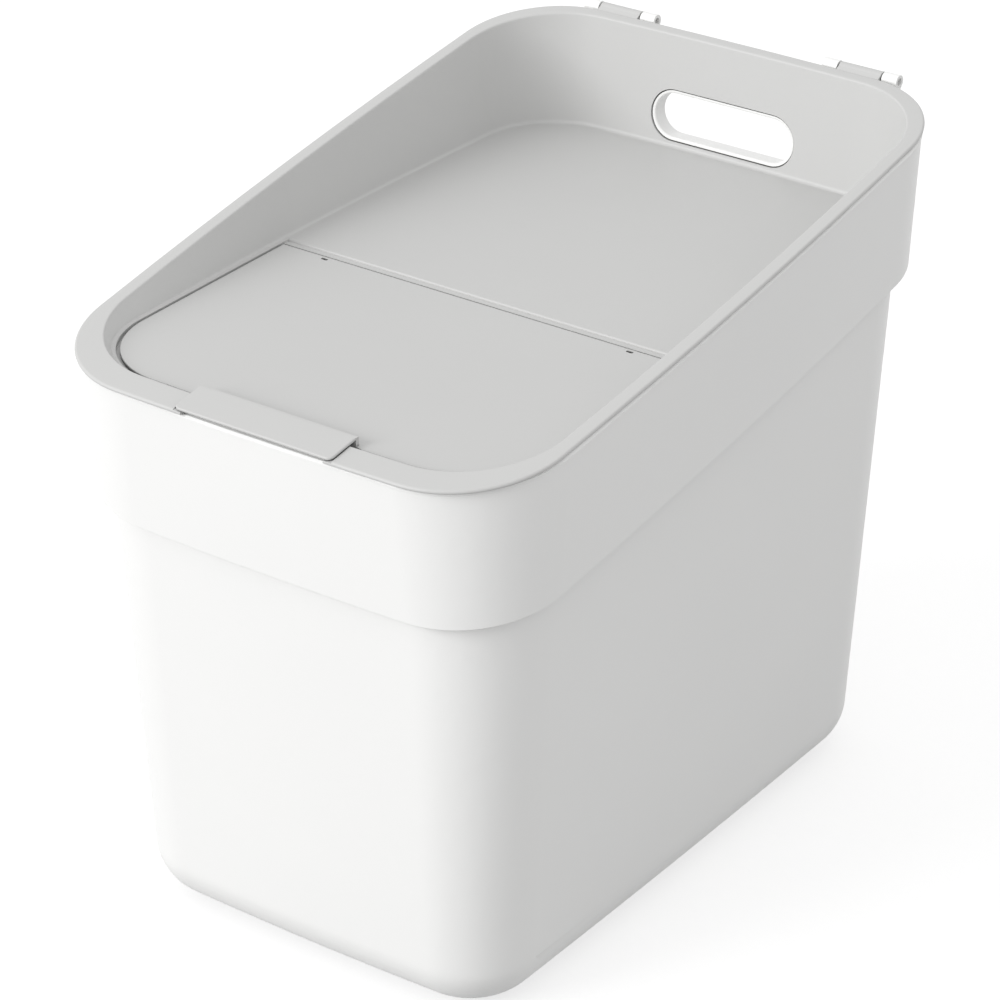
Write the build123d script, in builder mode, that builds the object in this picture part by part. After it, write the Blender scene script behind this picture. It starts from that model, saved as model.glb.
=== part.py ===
# Recycling bin with a sloping rim: a white bucket, a light grey lid frame hinged behind it, and a flap
# hinged in the lid's deck. X runs across the bin, Y from its front to its rear and Z up. The origin is on
# the floor, under the middle of the whole length. Lengths are in millimetres, angles in degrees.
import os
from math import asin, atan, atan2, cos, hypot, radians, sin, tan

from build123d import *

os.makedirs("parts", exist_ok=True)

# Rim of the lid, seen from above
rim_width = 267.0
rim_depth = 385.0
rim_front_height = 288.5
rim_rise = 58.3
rim_side_bow = 4.9
rim_end_bow = 2.5
rim_front_radius = 52.8
rim_rear_radius = 50.2

# Skirt, the bucket's wide upper band
skirt_drop = 74.0
skirt_side_inset = 0.5
skirt_front_inset = 1.5
skirt_rear_inset = 0.3
skirt_side_bow = 3.9
skirt_end_bow = 3.0
skirt_side_draft = 3.7
skirt_front_draft = 4.0
skirt_rear_draft = 2.3
skirt_top_front_radius = 58.5
skirt_top_rear_radius = 52.0
skirt_foot_front_radius = 50.0
skirt_foot_rear_radius = 47.0
skirt_foot_round = 1.0
skirt_top_round = 1.0
bead_height = 2.4
bead_rise = 0.3

# Lower body of the bucket, with its base set in from the rim
base_side_inset = 24.9
base_front_inset = 22.0
base_rear_inset = 27.5
base_side_bow = 1.6
base_end_bow = 2.8
base_corner_radius = 36.3
base_round = 27.0
body_side_draft = 3.3
body_front_draft = 2.4
body_rear_draft = 3.4
body_radius_gain = 0.047
wall = 2.2
floor_thickness = 2.5

# Lid frame
flange_thickness = 2.2
inner_edge_round = 1.0
edge_steps = 3
seat_gap = 0.3
band_side = 7.3
band_front = 14.3
band_rear = 6.2
tray_front_radius = 50.0
tray_rear_radius = 48.6
tray_side_draft = 5.0
tray_side_lean = 4.5
tray_rear_draft = 7.0
tray_wall = 2.0
deck_drop = 0.1
deck_thickness = 2.0
foot_round_front = 1.2
foot_round_side = 2.0
foot_round_rear = 2.0
foot_steps = 4

# Flap, its pocket in the deck and the throat below
flap_side_margin = 18.7
flap_front_margin = 17.4
flap_rear_reach = 26.2
flap_thickness = 2.0
flap_corner_radius = 45.0
flap_edge_round = 0.4
flap_gap = 1.5
flap_front_gap = 2.2
groove_width = 5.7
groove_depth = 1.0
groove_floor = 3.4
groove_round = 0.8
ledge_width = 6.0
ledge_cover = 0.5
ledge_gap = 0.3
throat_rim_depth = 7.0
barrel_radius = 2.0
barrel_drop = 3.4
barrel_inset = 2.0
barrel_clearance = 0.7
flap_pin_radius = 1.5
flap_pin_length = 5.0
pin_clearance = 0.06
pin_end_gap = 0.4
boss_wall = 2.2
notch_width = 3.8
notch_depth = 1.8
notch_spacing = 175.8
notch_setback = 1.5

# Finger lip on the flap
lip_width = 88.0
lip_front_inset = 0.5
lip_seat = 3.2
lip_rise = 1.5
lip_thickness = 1.6
lip_edge_round = 0.7
lip_rear_round = 0.5
lip_corner_radius = 3.0
lip_side_gap = 0.3
lip_under_gap = 0.4
lip_side_seat = 4.0
riser_thickness = 2.0
relief_width = 6.0

# Hand slot in the rear
slot_width = 85.0
slot_height = 27.0
slot_sill = 2.6
collar_gap = 0.6
collar_wall = 1.6
collar_recess = 0.3
slot_mouth_round = 1.0

# Hinges between bucket and lid
hinge_spacing = 141.8
hinge_gap = 0.45
hinge_axis_drop = 1.3
knuckle_radius = 3.4
knuckle_width = 8.4
ear_height = 15.0
ear_top_gap = 0.3
tab_width = 23.8
tab_side_gap = 0.9
tab_radius = 3.2
hinge_pin_radius = 1.8
hinge_pin_length = 5.0

# Places that follow from the sizes
rim_slope = rim_rise / rim_depth
rim_rear_height = rim_front_height + rim_rise
body_top_drop = flange_thickness + seat_gap
rim_centre = -hinge_gap / 2 - knuckle_radius
rim_front = rim_centre - rim_depth / 2
rim_rear = rim_centre + rim_depth / 2
hinge_y = rim_rear + hinge_gap + knuckle_radius
hinge_z = rim_rear_height - hinge_axis_drop
barrel_y = rim_centre - flap_rear_reach - barrel_inset
deck_height = rim_front_height - deck_drop
barrel_z = deck_height - barrel_drop
flap_width = rim_width - 2 * flap_side_margin
flap_front_reach = rim_depth / 2 - flap_front_margin
deck_edge = flap_rear_reach - groove_width
groove_edge = deck_edge + groove_floor
ledge_height = deck_height - flap_thickness - ledge_gap
pocket_bottom = ledge_height - deck_thickness
throat_bottom = pocket_bottom - throat_rim_depth


def rim_height(y):
    # Height of the sloping rim plane over a place along the bin
    return rim_front_height + rim_slope * (y - rim_front)


def slope_plane(front_height, rear_height):
    # Plane through two heights, at the rim's front and at its rear
    rise = rear_height - front_height
    tilt = atan(rise / rim_depth)
    origin = (0, rim_centre, (front_height + rear_height) / 2)
    return Plane(origin=origin, x_dir=(1, 0, 0), z_dir=(0, -sin(tilt), cos(tilt)))


def outline(heights, halves, reaches, radii, bows):
    # Closed outline with bowed sides and round corners. The pairs are for front and rear, but bows are
    # for sides and ends. Halves and reaches are those of the corners before rounding, seen from above.
    stretch = hypot(1, (heights[1] - heights[0]) / rim_depth)
    front = -reaches[0] * stretch
    rear = reaches[1] * stretch
    with BuildSketch(slope_plane(*heights)) as shape:
        with BuildLine():
            SagittaArc((-halves[0], front), (halves[0], front), -bows[1])
            SagittaArc((halves[0], front), (halves[1], rear), -bows[0])
            SagittaArc((halves[1], rear), (-halves[1], rear), -bows[1])
            SagittaArc((-halves[1], rear), (-halves[0], front), -bows[0])
        make_face()
        fillet(shape.vertices().group_by(Axis.Y)[0], radii[0])
        fillet(shape.vertices().group_by(Axis.Y)[-1], radii[1])
    return shape.sketch


def body_outline(height, inset):
    # Level section of the bucket's lower body
    base_half = rim_width / 2 - base_side_inset - base_side_bow
    base_front = rim_depth / 2 - base_front_inset - base_end_bow
    base_rear = rim_depth / 2 - base_rear_inset - base_end_bow
    half = base_half + height * tan(radians(body_side_draft)) - inset
    front = base_front + height * tan(radians(body_front_draft)) - inset
    rear = base_rear + height * tan(radians(body_rear_draft)) - inset
    radius = base_corner_radius + height * body_radius_gain - inset
    bows = (base_side_bow, base_end_bow)
    return outline((height, height), (half, half), (front, rear), (radius, radius), bows)


def skirt_outline(drop, inset):
    # Section of the skirt parallel to the rim, at a drop below it
    share = drop / skirt_drop
    half = rim_width / 2 - skirt_side_bow - skirt_side_inset - drop * tan(radians(skirt_side_draft)) - inset
    front = rim_depth / 2 - skirt_end_bow - skirt_front_inset - drop * tan(radians(skirt_front_draft)) - inset
    rear = rim_depth / 2 - skirt_end_bow - skirt_rear_inset - drop * tan(radians(skirt_rear_draft)) - inset
    front_radius = skirt_top_front_radius + share * (skirt_foot_front_radius - skirt_top_front_radius)
    rear_radius = skirt_top_rear_radius + share * (skirt_foot_rear_radius - skirt_top_rear_radius)
    heights = (rim_front_height - drop, rim_rear_height - drop)
    radii = (front_radius - inset, rear_radius - inset)
    return outline(heights, (half, half), (front, rear), radii, (skirt_side_bow, skirt_end_bow))


def rim_outline(drop, inset):
    # Section of the lid's rim band
    half = rim_width / 2 - rim_side_bow - inset
    reach = rim_depth / 2 - rim_end_bow - inset
    heights = (rim_front_height - drop, rim_rear_height - drop)
    radii = (rim_front_radius - inset, rim_rear_radius - inset)
    return outline(heights, (half, half), (reach, reach), radii, (rim_side_bow, rim_end_bow))


def tray_rim_outline(drop, thickness):
    # Section of the tray's walls at the rim, outside by the wall's thickness
    half = rim_width / 2 - rim_side_bow - band_side + thickness
    front = rim_depth / 2 - rim_end_bow - band_front + thickness
    rear = rim_depth / 2 - rim_end_bow - band_rear + thickness
    heights = (rim_front_height - drop, rim_rear_height - drop)
    radii = (tray_front_radius + thickness, tray_rear_radius + thickness)
    return outline(heights, (half, half), (front, rear), radii, (rim_side_bow, rim_end_bow))


def tray_foot_outline(angle, thickness):
    # Section of the round between the deck and the tray's walls. The angle goes from 0 at the deck to 90
    # at the wall, and the thickness is that of the wall outside the round. The side walls lean in by the
    # same amount along their foot, over and above their draft.
    def inward(radius):
        return radius - (radius + thickness) * sin(radians(angle))

    def upward(radius):
        return deck_height + radius - (radius + thickness) * cos(radians(angle))

    front_loss = (rim_height(rim_front + band_front) - deck_height) * tan(radians(tray_side_draft))
    side_loss = (rim_height(rim_rear - band_rear) - deck_height) * tan(radians(tray_side_draft))
    rear_loss = (rim_height(rim_rear - band_rear) - deck_height) * tan(radians(tray_rear_draft))
    half = rim_width / 2 - rim_side_bow - band_side - tray_side_lean
    front = rim_depth / 2 - rim_end_bow - band_front - front_loss
    rear = rim_depth / 2 - rim_end_bow - band_rear - rear_loss
    halves = (half - front_loss - inward(foot_round_side), half - side_loss - inward(foot_round_side))
    reaches = (front - inward(foot_round_front), rear - inward(foot_round_rear))
    heights = (upward(foot_round_front), upward(foot_round_side))
    front_radius = tray_front_radius - tray_side_lean - front_loss - inward(foot_round_side)
    rear_radius = tray_rear_radius - rear_loss - inward(foot_round_rear)
    return outline(heights, halves, reaches, (front_radius, rear_radius), (rim_side_bow, rim_end_bow))


def tray_feet(thickness):
    # Sections of the tray's foot round, from its deck up to its walls
    return [tray_foot_outline(90 * step / foot_steps, thickness) for step in range(foot_steps + 1)]


def quarter_turns():
    # Angles in radians through a quarter round, from 0 to a right angle
    return [radians(90 * step / edge_steps) for step in range(edge_steps + 1)]


def flap_outline(height, growths, rear_reach):
    # The flap's outline, or one that is larger by a growth at its sides and another at its front, with
    # its rear edge at a reach
    half = flap_width / 2 + growths[0]
    front = flap_front_reach - rim_end_bow + growths[1]
    with BuildSketch(Plane((0, rim_centre, height))) as shape:
        with BuildLine():
            Polyline((half, -front), (half, -rear_reach), (-half, -rear_reach), (-half, -front))
            SagittaArc((-half, -front), (half, -front), -rim_end_bow)
        make_face()
        fillet(shape.vertices().group_by(Axis.Y)[0], flap_corner_radius + growths[0])
    return shape.sketch


def side_plane(x):
    # Plane across the bin whose own axes are Y and Z, facing +X
    return Plane(origin=(x, 0, 0), x_dir=(0, 1, 0), z_dir=(1, 0, 0))


# The hand slot's axis stands square to the tray's rear wall
slot_centre_height = deck_height + slot_sill + slot_height / 2
slot_rim_drop = rim_height(rim_rear - band_rear) - slot_centre_height
slot_wall_y = rim_rear - band_rear - slot_rim_drop * tan(radians(tray_rear_draft))
slot_direction = (0, cos(radians(tray_rear_draft)), -sin(radians(tray_rear_draft)))
slot_plane = Plane(origin=(0, slot_wall_y, slot_centre_height), x_dir=(1, 0, 0), z_dir=slot_direction)
skirt_rear_drop = rim_rear_height - slot_centre_height
skirt_rear_y = rim_rear - skirt_rear_inset - skirt_rear_drop * tan(radians(skirt_rear_draft))
collar_length = skirt_rear_y - slot_wall_y

# Each hinge has a tab with a knuckle on either side
hinge_centres = (-hinge_spacing / 2, hinge_spacing / 2)
tab_faces = [centre + side * tab_width / 2 for centre in hinge_centres for side in (-1, 1)]
knuckle_sides = [side for centre in hinge_centres for side in (-1, 1)]

# Bucket
ear_root = rim_rear - skirt_rear_inset - band_rear
ear_top = rim_height(ear_root) - body_top_drop - ear_top_gap
ear_shoulder = rim_height(rim_rear) - body_top_drop - ear_top_gap
ear_foot = ear_top - ear_height
foot_to_axis = hypot(hinge_y - ear_root, hinge_z - ear_foot)
foot_angle = atan2(hinge_z - ear_foot, hinge_y - ear_root) - asin(knuckle_radius / foot_to_axis)
tangent_length = (foot_to_axis**2 - knuckle_radius**2) ** 0.5
tangent_point = (ear_root + tangent_length * cos(foot_angle), ear_foot + tangent_length * sin(foot_angle))

with BuildPart() as body_core:
    loft([body_outline(floor_thickness, wall), body_outline(rim_rear_height, wall)], ruled=True)
    fillet(body_core.faces().sort_by(Axis.Z)[0].edges(), base_round - wall)

with BuildPart() as bucket:
    loft([body_outline(0, 0), body_outline(rim_rear_height, 0)], ruled=True)
    fillet(bucket.faces().sort_by(Axis.Z)[0].edges(), base_round)
    body_top = slope_plane(rim_front_height - body_top_drop, rim_rear_height - body_top_drop)
    split(bisect_by=body_top, keep=Keep.BOTTOM)
    skirt_sections = [
        skirt_outline(skirt_drop, skirt_foot_round),
        skirt_outline(skirt_drop - skirt_foot_round, 0),
        skirt_outline(body_top_drop + bead_height, 0),
        skirt_outline(body_top_drop + bead_height - bead_rise, -bead_rise),
        skirt_outline(body_top_drop + skirt_top_round, -bead_rise),
        skirt_outline(body_top_drop, skirt_top_round - bead_rise),
    ]
    loft(skirt_sections, ruled=True)
    for face, side in zip(tab_faces, knuckle_sides):
        near = face + side * tab_side_gap
        with BuildSketch(side_plane(near)):
            with BuildLine():
                Polyline(
                    (ear_root, ear_top),
                    (rim_rear, ear_shoulder),
                    (hinge_y, ear_shoulder),
                    (hinge_y, hinge_z),
                    tangent_point,
                    (ear_root, ear_foot),
                    close=True,
                )
            make_face()
            with Locations((hinge_y, hinge_z)):
                Circle(knuckle_radius)
        extrude(amount=side * knuckle_width)
    add(body_core.part, mode=Mode.SUBTRACT)
    loft([skirt_outline(skirt_drop - wall, wall), skirt_outline(-wall, wall)], ruled=True, mode=Mode.SUBTRACT)
    with BuildSketch(slot_plane.offset(collar_recess)):
        SlotOverall(slot_width - 2 * collar_gap, slot_height - 2 * collar_gap)
    extrude(amount=collar_length - collar_recess - wall / 2)
    with BuildSketch(slot_plane):
        SlotOverall(slot_width - 2 * (collar_gap + collar_wall), slot_height - 2 * (collar_gap + collar_wall))
    extrude(amount=collar_length + 2 * wall, mode=Mode.SUBTRACT)
    collar_face = bucket.faces().filter_by(slot_plane).sort_by_distance(slot_plane.origin)[0]
    fillet(collar_face.inner_wires()[0].edges(), slot_mouth_round)
    for face, side in zip(tab_faces, knuckle_sides):
        near = face + side * tab_side_gap
        with BuildSketch(side_plane(near)):
            with Locations((hinge_y, hinge_z)):
                Circle(hinge_pin_radius + pin_clearance)
        extrude(amount=side * knuckle_width, mode=Mode.SUBTRACT)

bucket.part.label = "bucket"
export_step(bucket.part, "parts/bucket.step")

# Lid frame
boss_root = flap_width / 2 + flap_gap
boss_depth = flap_pin_length - flap_gap + pin_end_gap
boss_half = flap_pin_radius + pin_clearance + boss_wall
lip_notch_half = lip_width / 2 + lip_side_gap
lip_floor_drop = lip_thickness - lip_rise + lip_under_gap
pocket_front = flap_front_reach + flap_front_gap
lip_throat_reach = ledge_width + rim_end_bow
tab_root = rim_rear - band_rear / 2
tab_under = rim_height(tab_root) - flange_thickness

# The ledge's ring reaches up into the deck
ledge_ring_height = deck_height - ledge_cover - pocket_bottom
pocket_growths = (flap_gap, flap_front_gap)
pocket_outer = [growth + tray_wall for growth in pocket_growths]
throat_growths = [growth - ledge_width for growth in pocket_growths]
throat_outer = [growth + tray_wall for growth in throat_growths]

with BuildPart() as lid_frame:
    edge = flange_thickness / 2
    lower_edge = [rim_outline(edge * (1 + cos(turn)), edge * (1 - sin(turn))) for turn in quarter_turns()]
    upper_edge = [rim_outline(edge * (1 - sin(turn)), edge * (1 - cos(turn))) for turn in quarter_turns()]
    loft([*lower_edge, *upper_edge[1:]], ruled=True)
    loft([*tray_feet(tray_wall), tray_rim_outline(edge, tray_wall)], ruled=True)
    extrude(flap_outline(pocket_bottom, pocket_outer, groove_edge - tray_wall), amount=ledge_ring_height)
    extrude(flap_outline(throat_bottom, throat_outer, groove_edge - tray_wall), amount=throat_rim_depth)
    round_out = inner_edge_round
    inner_edge = [
        tray_rim_outline(round_out * (1 - sin(turn)), round_out * (1 - cos(turn))) for turn in quarter_turns()
    ]
    tray_space = [*tray_feet(0), *inner_edge, tray_rim_outline(-flange_thickness, round_out)]
    loft(tray_space, ruled=True, mode=Mode.SUBTRACT)
    for side in (-1, 1):
        with BuildSketch(side_plane(side * boss_root)):
            with Locations((barrel_y, (barrel_z - boss_half + deck_height - ledge_gap) / 2)):
                Rectangle(2 * boss_half, deck_height - ledge_gap - barrel_z + boss_half)
        extrude(amount=side * (boss_depth + boss_wall))
    pocket_height = deck_height + foot_round_front - ledge_height
    extrude(flap_outline(ledge_height, pocket_growths, groove_edge), amount=pocket_height, mode=Mode.SUBTRACT)
    groove_bottom = deck_height - groove_depth
    groove_height = foot_round_front + groove_depth
    extrude(flap_outline(groove_bottom, pocket_growths, deck_edge), amount=groove_height, mode=Mode.SUBTRACT)
    throat_depth = deck_height - throat_bottom
    extrude(flap_outline(throat_bottom, throat_growths, groove_edge), amount=throat_depth, mode=Mode.SUBTRACT)
    channel_half = barrel_radius + barrel_clearance
    channel_front = barrel_y - channel_half
    with BuildSketch(side_plane(-boss_root)):
        with Locations(((channel_front + rim_centre - groove_edge) / 2, barrel_z)):
            Rectangle(rim_centre - groove_edge - channel_front, 2 * channel_half)
    extrude(amount=2 * boss_root, mode=Mode.SUBTRACT)
    groove_edges = lid_frame.edges().filter_by(Axis.X)
    fillet(groove_edges.sort_by_distance((0, rim_centre - deck_edge, deck_height))[0], groove_round)
    for side in (-1, 1):
        with BuildSketch(side_plane(side * boss_root)):
            with Locations((barrel_y, barrel_z)):
                Circle(flap_pin_radius + pin_clearance)
        extrude(amount=side * boss_depth, mode=Mode.SUBTRACT)
    with BuildSketch(slope_plane(rim_front_height - lip_floor_drop, rim_rear_height - lip_floor_drop)):
        with Locations((0, -rim_depth * hypot(1, rim_slope) / 2)):
            Rectangle(2 * lip_notch_half, 2 * flap_front_margin)
    extrude(amount=rim_rise, mode=Mode.SUBTRACT)
    with BuildSketch(Plane((0, rim_centre, pocket_bottom))):
        with Locations((0, -rim_depth / 2)):
            Rectangle(lip_width - 2 * lip_side_seat, 2 * (band_front - tray_wall - seat_gap))
    extrude(amount=rim_rise, mode=Mode.SUBTRACT)
    with BuildSketch(Plane((0, rim_centre, throat_bottom))):
        with Locations((0, -pocket_front + lip_throat_reach / 2)):
            Rectangle(lip_width + 2 * relief_width, lip_throat_reach)
    extrude(amount=ledge_height - throat_bottom, mode=Mode.SUBTRACT)
    with BuildSketch(slot_plane.offset(-tray_wall)):
        SlotOverall(slot_width, slot_height)
    extrude(amount=3 * tray_wall, mode=Mode.SUBTRACT)
    for centre in hinge_centres:
        with BuildSketch(side_plane(centre - tab_width / 2)):
            with BuildLine():
                Polyline(
                    (tab_root, tab_under + flange_thickness / 2),
                    (hinge_y, hinge_z + tab_radius),
                    (hinge_y, hinge_z),
                    (hinge_y - tab_radius, tab_under),
                    (tab_root, tab_under),
                    close=True,
                )
            make_face()
            with Locations((hinge_y, hinge_z)):
                Circle(tab_radius)
        extrude(amount=tab_width)
        with BuildSketch(side_plane(centre - tab_width / 2 - hinge_pin_length)):
            with Locations((hinge_y, hinge_z)):
                Circle(hinge_pin_radius)
        extrude(amount=tab_width + 2 * hinge_pin_length)

lid_frame.part.label = "lid_frame"
export_step(lid_frame.part, "parts/lid_frame.step")

# Flap
lip_front = rim_front + lip_front_inset
lip_rear = rim_front + flap_front_margin + lip_seat
lip_under_rise = lip_rise - lip_thickness
lip_top = slope_plane(rim_front_height + lip_rise, rim_rear_height + lip_rise)
lip_under = slope_plane(rim_front_height + lip_under_rise, rim_rear_height + lip_under_rise)
lip_space = rim_height(lip_rear) + 2 * lip_rise - deck_height
relief_half = lip_width / 2 + relief_width
riser_reach = flap_front_reach - lip_seat + riser_thickness

with BuildPart() as lip_plate:
    with BuildSketch(Plane((0, (lip_front + lip_rear) / 2, deck_height - flap_thickness))) as lip_face:
        Rectangle(lip_width, lip_rear - lip_front)
        fillet(lip_face.vertices().group_by(Axis.Y)[0], lip_corner_radius)
    extrude(amount=lip_space)
    split(bisect_by=lip_top, keep=Keep.BOTTOM)
    split(bisect_by=lip_under, keep=Keep.TOP)
    fillet(lip_plate.faces().sort_by(Axis.Y)[0].edges().filter_by(Axis.X), lip_edge_round)

with BuildPart() as lip_riser:
    with BuildSketch(Plane((0, lip_rear - riser_thickness / 2, deck_height - flap_thickness))):
        Rectangle(lip_width, riser_thickness)
    extrude(amount=lip_space)
    split(bisect_by=lip_top, keep=Keep.BOTTOM)

with BuildPart() as flap:
    extrude(flap_outline(deck_height - flap_thickness, (0, 0), flap_rear_reach), amount=flap_thickness)
    fillet(flap.faces().sort_by(Axis.Z)[-1].edges(), flap_edge_round)
    with BuildSketch(Plane((0, rim_centre, deck_height))):
        with BuildLine():
            Polyline(
                (-relief_half, -rim_depth / 2),
                (-relief_half, -flap_front_reach),
                (-lip_width / 2, -riser_reach),
                (lip_width / 2, -riser_reach),
                (relief_half, -flap_front_reach),
                (relief_half, -rim_depth / 2),
                close=True,
            )
        make_face()
    extrude(amount=2 * flap_thickness, both=True, mode=Mode.SUBTRACT)
    with BuildSketch(side_plane(-flap_width / 2)):
        with Locations((barrel_y, barrel_z)):
            Circle(barrel_radius)
    extrude(amount=flap_width)
    with BuildSketch(side_plane(-flap_width / 2 - flap_pin_length)):
        with Locations((barrel_y, barrel_z)):
            Circle(flap_pin_radius)
    extrude(amount=flap_width + 2 * flap_pin_length)
    with BuildSketch(Plane((0, rim_centre - flap_rear_reach - notch_setback - notch_depth / 2, deck_height))):
        with Locations((-notch_spacing / 2, 0), (notch_spacing / 2, 0)):
            SlotOverall(notch_width, notch_depth)
    extrude(amount=2 * barrel_radius, both=True, mode=Mode.SUBTRACT)
    add(lip_plate.part)
    add(lip_riser.part)
    lip_edges = flap.edges().filter_by(Axis.X)
    fillet(lip_edges.sort_by_distance((0, lip_rear, rim_height(lip_rear) + lip_rise))[0], lip_rear_round)

flap.part.label = "flap"
export_step(flap.part, "parts/flap.step")
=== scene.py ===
from math import cos, radians, sin

import bmesh
import bpy
from mathutils import Matrix, Vector


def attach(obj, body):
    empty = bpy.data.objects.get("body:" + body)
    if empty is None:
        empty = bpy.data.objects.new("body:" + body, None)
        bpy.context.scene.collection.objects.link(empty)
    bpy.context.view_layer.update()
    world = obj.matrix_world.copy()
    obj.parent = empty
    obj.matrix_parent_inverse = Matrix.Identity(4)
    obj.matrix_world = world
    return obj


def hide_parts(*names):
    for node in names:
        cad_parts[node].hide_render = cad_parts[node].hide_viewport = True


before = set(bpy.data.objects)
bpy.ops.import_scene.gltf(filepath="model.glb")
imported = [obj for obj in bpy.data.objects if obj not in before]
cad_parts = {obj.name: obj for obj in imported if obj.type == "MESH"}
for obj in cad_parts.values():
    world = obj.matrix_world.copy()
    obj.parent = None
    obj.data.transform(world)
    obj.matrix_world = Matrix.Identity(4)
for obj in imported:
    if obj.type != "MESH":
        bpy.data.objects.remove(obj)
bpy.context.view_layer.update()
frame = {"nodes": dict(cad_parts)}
print("frame loaded:", ", ".join(frame["nodes"]))


def linear(hexColour):
    # sRGB hex to linear red, green and blue, with a full alpha
    parts = [int(hexColour[i:i + 2], 16) / 255 for i in (1, 3, 5)]
    return [p / 12.92 if p <= 0.04045 else ((p + 0.055) / 1.055) ** 2.4 for p in parts] + [1.0]


def metres(millimetres):
    return millimetres / 1000


def addNode(tree, kind, settings=None, links=None):
    # settings are attributes or inputs by name, links go from an input's name or number to a socket
    node = tree.nodes.new(kind)
    for name, value in (settings or {}).items():
        if isinstance(name, str) and hasattr(node, name):
            setattr(node, name, value)
        else:
            node.inputs[name].default_value = value
    for name, socket in (links or {}).items():
        tree.links.new(socket, node.inputs[name])
    return node


def mouldedPolypropylene(name, look):
    # Polypropylene, injection moulded against a spark-eroded tool. That leaves an even satin with a fine
    # matt grain and no direction, with a broad faint cloudiness from the flow.
    material = bpy.data.materials.new(name)
    material.use_nodes = True
    tree = material.node_tree
    tree.nodes.clear()
    spot = addNode(tree, "ShaderNodeTexCoord").outputs["Object"]
    cloud = addNode(
        tree, "ShaderNodeTexNoise",
        {"Scale": 1 / metres(look["cloudSize"]), "Detail": look["cloudDetail"]},
        {"Vector": spot})
    grain = addNode(
        tree, "ShaderNodeTexNoise",
        {"Scale": 1 / metres(look["grainSize"]), "Detail": look["grainDetail"],
         "Roughness": look["grainMix"]},
        {"Vector": spot})
    tone = addNode(tree, "ShaderNodeMix", {"data_type": "RGBA"}, {0: cloud.outputs["Fac"]})
    tone.inputs[6].default_value = linear(look["colour"])
    tone.inputs[7].default_value = linear(look["cloudColour"])
    # painted shade: where ambient occlusion is low, in narrow gaps and holes, the colour is mixed towards
    # a set dark grey
    paintedShadeOcclusion = addNode(
        tree, "ShaderNodeAmbientOcclusion",
        {"samples": look["paintedShadeSamples"], "Distance": metres(look["paintedShadeReach"])})
    darkest, clearest = look["paintedShadeRange"]
    clear = addNode(
        tree, "ShaderNodeMapRange",
        {"From Min": darkest, "From Max": clearest},
        {"Value": paintedShadeOcclusion.outputs["AO"]})
    colourWithPaintedShade = addNode(
        tree, "ShaderNodeMix", {"data_type": "RGBA"},
        {0: clear.outputs["Result"], 7: tone.outputs[2]})
    colourWithPaintedShade.inputs[6].default_value = linear(look["paintedShadeColour"])
    gloss = addNode(
        tree, "ShaderNodeMapRange",
        {"To Min": look["roughness"] - look["roughnessSpread"],
         "To Max": look["roughness"] + look["roughnessSpread"]},
        {"Value": grain.outputs["Fac"]})
    bump = addNode(
        tree, "ShaderNodeBump",
        {"Strength": look["bumpStrength"], "Distance": metres(look["grainDepth"])},
        {"Height": grain.outputs["Fac"]})
    shader = addNode(
        tree, "ShaderNodeBsdfPrincipled", {"IOR": look["refraction"]},
        {"Base Color": colourWithPaintedShade.outputs[2], "Roughness": gloss.outputs["Result"],
         "Normal": bump.outputs["Normal"]})
    addNode(tree, "ShaderNodeOutputMaterial", {}, {"Surface": shader.outputs["BSDF"]})
    return material


# sizes and depths are in millimetres
whitePlastic = {
    "colour": "#f2f2f1", "cloudColour": "#efefee", "cloudSize": 110, "cloudDetail": 2.0,
    "grainSize": 0.8, "grainDetail": 3.0, "grainMix": 0.6, "grainDepth": 0.03, "bumpStrength": 0.4,
    "roughness": 0.4, "roughnessSpread": 0.03, "refraction": 1.49,
    # painted shade in gaps and holes: how far it looks, the occlusion range it spans, its samples and its
    # darkest colour
    "paintedShadeReach": 2, "paintedShadeRange": (0.05, 0.4), "paintedShadeSamples": 12, "paintedShadeColour": "#b4b4b2",
}
# the same plastic in grey, with a slightly duller and deeper grain and a darker painted shade in its gaps
greyPlastic = dict(
    whitePlastic, colour="#c7c7c6", cloudColour="#c4c4c3", cloudSize=90,
    grainDepth=0.04, roughness=0.45, paintedShadeColour="#5a5a59")
# the same grey, with a stronger and darker painted shade in the gaps round the flap and in its two
# notches
flapPlasticDeeperPaintedShade = dict(greyPlastic, paintedShadeReach=3, paintedShadeRange=(0.3, 0.7), paintedShadeColour="#2c2c2b")
white = mouldedPolypropylene("whiteMouldedPolypropylene", whitePlastic)
grey = mouldedPolypropylene("greyMouldedPolypropylene", greyPlastic)
flapGreyDeeperPaintedShade = mouldedPolypropylene("greyMouldedPolypropyleneDeeperPaintedShade", flapPlasticDeeperPaintedShade)
print("materials done")


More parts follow.
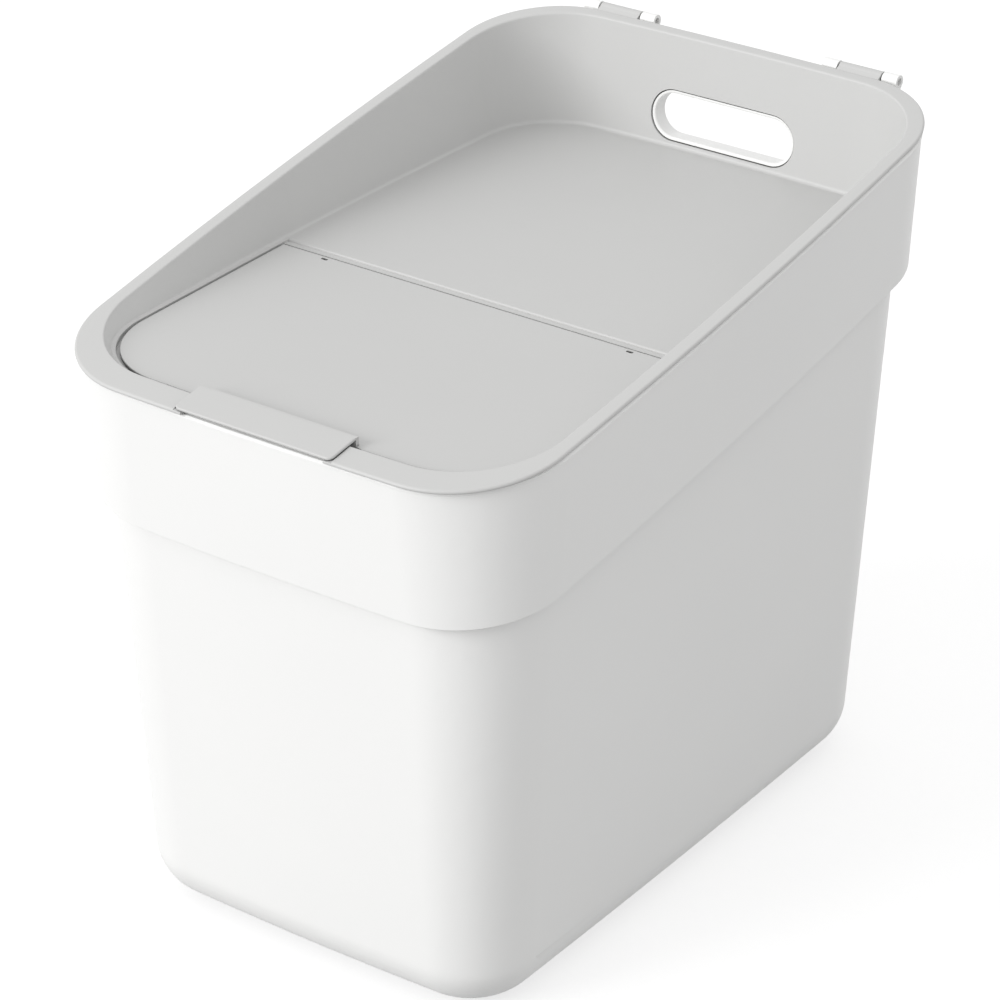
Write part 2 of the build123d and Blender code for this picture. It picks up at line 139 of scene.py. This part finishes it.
def evenlyShaded(look):
    # The moulding's own shape, with its loose triangles merged. Where faces run on smoothly their normals
    # are averaged by area, so that no ring shows in the rounds, and real edges stay crisp.
    mesh = frame["nodes"][look["node"]].data.copy()
    mesh.name = look["name"]
    cadNormals = [Vector(normal.vector) for normal in mesh.corner_normals]
    bm = bmesh.new()
    bm.from_mesh(mesh)
    # a face keeps the number of its first corner, since merging may renumber the faces
    firstCorner = bm.faces.layers.int.new("firstCorner")
    for face, polygon in zip(bm.faces, mesh.polygons):
        face[firstCorner] = polygon.loop_start
    bmesh.ops.remove_doubles(bm, verts=bm.verts, dist=metres(look["merge"]))
    smooth = cos(radians(look["crease"]))
    own = {}
    for face in bm.faces:
        face.smooth = True
        face.material_index = 0
        for i, loop in enumerate(face.loops):
            own[loop] = cadNormals[face[firstCorner] + i]
    normals = []
    for face in bm.faces:
        for loop in face.loops:
            around = [other for other in loop.vert.link_loops if own[other].dot(own[loop]) > smooth]
            total = sum((own[other] * other.face.calc_area() for other in around), Vector())
            normals.append(total.normalized())
    bm.faces.layers.int.remove(firstCorner)
    bm.to_mesh(mesh)
    bm.free()
    mesh.normals_split_custom_set(normals)
    mesh.materials.clear()
    mesh.materials.append(look["material"])
    piece = bpy.data.objects.new(look["name"], mesh)
    bpy.context.scene.collection.objects.link(piece)
    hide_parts(look["node"])
    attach(piece, look["body"])
    print(look["name"], "made with", len(mesh.polygons), "faces")


# merge is in millimetres, and crease is the angle in degrees from which an edge stays crisp
bucket = {
    "name": "bucketShell", "node": "bucket", "body": "bucket", "slot": "white_polypropylene",
    "material": white, "merge": 0.01, "crease": 30,
}
lidFrame = {
    "name": "lidFrameShell", "node": "lid_frame", "body": "lid", "slot": "grey_polypropylene",
    "material": grey, "merge": 0.01, "crease": 35,
}
flap = {
    "name": "flapShell", "node": "flap", "body": "flap", "slot": "grey_polypropylene",
    "material": flapGreyDeeperPaintedShade, "merge": 0.01, "crease": 30,
}
for moulding in (bucket, lidFrame, flap):
    evenlyShaded(moulding)

# places and sizes are in metres, only floorDrop, which keeps the floor clear of the base, in millimetres
studio = {
    "floorSize": 12.0, "floorDrop": 0.3, "floorColour": "#a6a6a6", "floorGlow": 0.68,
    "backdropColour": "#ffffff", "sky": 0.87, "skyColour": "#ffffff",
    "key": 188.0, "keyPlace": (-2.59, -4.86, 2.50), "keySize": 3.2,
    "aim": (0, 0, 0.15),
}


def backdropRays(tree):
    # 1 for what the camera sees directly, in a gloss or through something clear,
    # and 0 for the light that falls on things
    path = addNode(tree, "ShaderNodeLightPath")
    seen = addNode(
        tree, "ShaderNodeMath", {"operation": "MAXIMUM"},
        {0: path.outputs["Is Camera Ray"], 1: path.outputs["Is Glossy Ray"]})
    either = addNode(
        tree, "ShaderNodeMath", {"operation": "MAXIMUM"},
        {0: seen.outputs[0], 1: path.outputs["Is Transmission Ray"]})
    return either.outputs[0]


def makeFloor():
    bm = bmesh.new()
    below = Matrix.Translation((0, 0, -metres(studio["floorDrop"])))
    bmesh.ops.create_grid(bm, x_segments=1, y_segments=1, size=studio["floorSize"] / 2, matrix=below)
    mesh = bpy.data.meshes.new("floor")
    bm.to_mesh(mesh)
    bm.free()
    floor = bpy.data.objects.new("floor", mesh)
    bpy.context.scene.collection.objects.link(floor)
    # a matt floor that keeps the shadow and is seen white
    material = bpy.data.materials.new("paleStudioFloor")
    material.use_nodes = True
    tree = material.node_tree
    tree.nodes.clear()
    matt = addNode(tree, "ShaderNodeBsdfDiffuse", {"Color": linear(studio["floorColour"])})
    seen = addNode(
        tree, "ShaderNodeMath", {"operation": "MULTIPLY", 1: studio["floorGlow"]},
        {0: backdropRays(tree)})
    glow = addNode(
        tree, "ShaderNodeEmission", {"Color": linear(studio["backdropColour"])},
        {"Strength": seen.outputs[0]})
    both = addNode(tree, "ShaderNodeAddShader", {}, {0: matt.outputs[0], 1: glow.outputs[0]})
    addNode(tree, "ShaderNodeOutputMaterial", {}, {"Surface": both.outputs[0]})
    mesh.materials.append(material)


def makeWorld():
    world = bpy.data.worlds.new("softStudio")
    bpy.context.scene.world = world
    world.use_nodes = True
    tree = world.node_tree
    tree.nodes.clear()
    soft = addNode(
        tree, "ShaderNodeBackground",
        {"Color": linear(studio["skyColour"]), "Strength": studio["sky"]})
    bright = addNode(
        tree, "ShaderNodeBackground",
        {"Color": linear(studio["backdropColour"]), "Strength": 1.0})
    pick = addNode(
        tree, "ShaderNodeMixShader", {},
        {0: backdropRays(tree), 1: soft.outputs[0], 2: bright.outputs[0]})
    addNode(tree, "ShaderNodeOutputWorld", {}, {"Surface": pick.outputs[0]})


def addLamp(name, place, size, power):
    data = bpy.data.lights.new(name, "AREA")
    data.shape = "DISK"
    data.size = size
    data.energy = power
    lamp = bpy.data.objects.new(name, data)
    bpy.context.scene.collection.objects.link(lamp)
    lamp.location = place
    towards = Vector(studio["aim"]) - Vector(place)
    lamp.rotation_euler = towards.to_track_quat("-Z", "Y").to_euler()


makeFloor()
makeWorld()
addLamp("keyLamp", studio["keyPlace"], studio["keySize"], studio["key"])
print("studio done")

# angles are in degrees, lens and sensor in millimetres, place and clip in metres
view = {
    "place": (0.99816, -1.373155, 1.07662),
    "azimuth": 36.3257, "elevation": 28.0904, "roll": -0.5593,
    "lens": 143.177, "sensor": 36.0, "shift": (0.00348, 0.00175), "clip": (0.05, 50),
}


def makeCamera():
    azimuth, elevation, roll = (radians(view[name]) for name in ("azimuth", "elevation", "roll"))
    ahead = Vector((-sin(azimuth) * cos(elevation), cos(azimuth) * cos(elevation), -sin(elevation)))
    across = Vector((cos(azimuth), sin(azimuth), 0))
    upward = across.cross(ahead)
    right = cos(roll) * across + sin(roll) * upward
    up = -sin(roll) * across + cos(roll) * upward
    data = bpy.data.cameras.new("photoView")
    data.lens = view["lens"]
    data.sensor_width = view["sensor"]
    data.shift_x, data.shift_y = view["shift"]
    data.clip_start, data.clip_end = view["clip"]
    camera = bpy.data.objects.new("photoView", data)
    bpy.context.scene.collection.objects.link(camera)
    turn = Matrix((right, up, -ahead)).transposed().to_4x4()
    camera.matrix_world = Matrix.Translation(view["place"]) @ turn
    bpy.context.scene.camera = camera


makeCamera()
bpy.context.scene.view_settings.view_transform = "Standard"
print("camera done")
